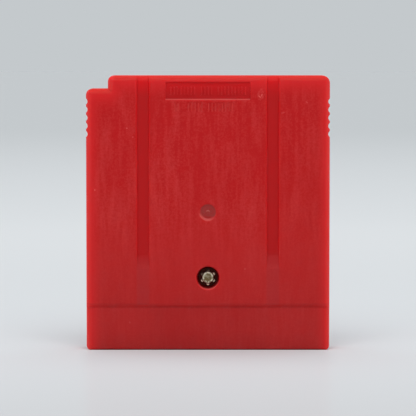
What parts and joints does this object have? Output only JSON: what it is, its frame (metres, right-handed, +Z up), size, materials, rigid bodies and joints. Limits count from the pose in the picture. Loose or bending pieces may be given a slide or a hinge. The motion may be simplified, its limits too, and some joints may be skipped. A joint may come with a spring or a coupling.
{
  "type": "game cartridge",
  "caption": "Flat handheld console game cartridge: two moulded half shells with side grips and a corner notch, closed by a recessed six-lobe screw over a circuit board with an edge connector.",
  "frame": {"origin": "middle of the connector edge that the cartridge stands on, half way through its thickness", "axes": "+Z up from the connector edge to the top, +Y towards the label side, -Y towards the screw side, +X to the right when the screw side is faced"},
  "size_m": [0.0576, 0.0078, 0.065],
  "materials": {
    "shell_red": "fine sparked texture, lightly scuffed, a little light passes through the edges",
    "board_green": "solder mask over glass fibre laminate",
    "contact_gold": "thin gold plate",
    "chip_black": "moulded epoxy, satin",
    "lead_tin": "tinned",
    "cell_steel": "nickel plated steel",
    "tab_nickel": "plain nickel strip",
    "solder": "soft solder, bright",
    "capacitor_tan": "fired ceramic with tinned ends",
    "resistor_dark": "glazed film with tinned ends",
    "screw_steel": "blackened steel, rubbed bright on the six-lobe head"
  },
  "bodies": {
    "root": {"rear_shell": "shell_red", "front_shell": "shell_red", "circuit_board": "board_green", "edge_contacts": "contact_gold", "rom_chip": "chip_black", "rom_leads": "lead_tin", "mapper_chip": "chip_black", "mapper_leads": "lead_tin", "memory_chip": "chip_black", "memory_leads": "lead_tin", "backup_chip": "chip_black", "backup_leads": "lead_tin", "coin_cell": "cell_steel", "cell_tab_upper": "tab_nickel", "cell_tab_lower": "tab_nickel", "tab_solder": "solder", "capacitor_1": "capacitor_tan", "capacitor_2": "capacitor_tan", "capacitor_3": "capacitor_tan", "capacitor_4": "capacitor_tan", "resistor_1": "resistor_dark", "resistor_2": "resistor_dark", "resistor_3": "resistor_dark", "security_screw": "screw_steel"}
  },
  "joints": []
}
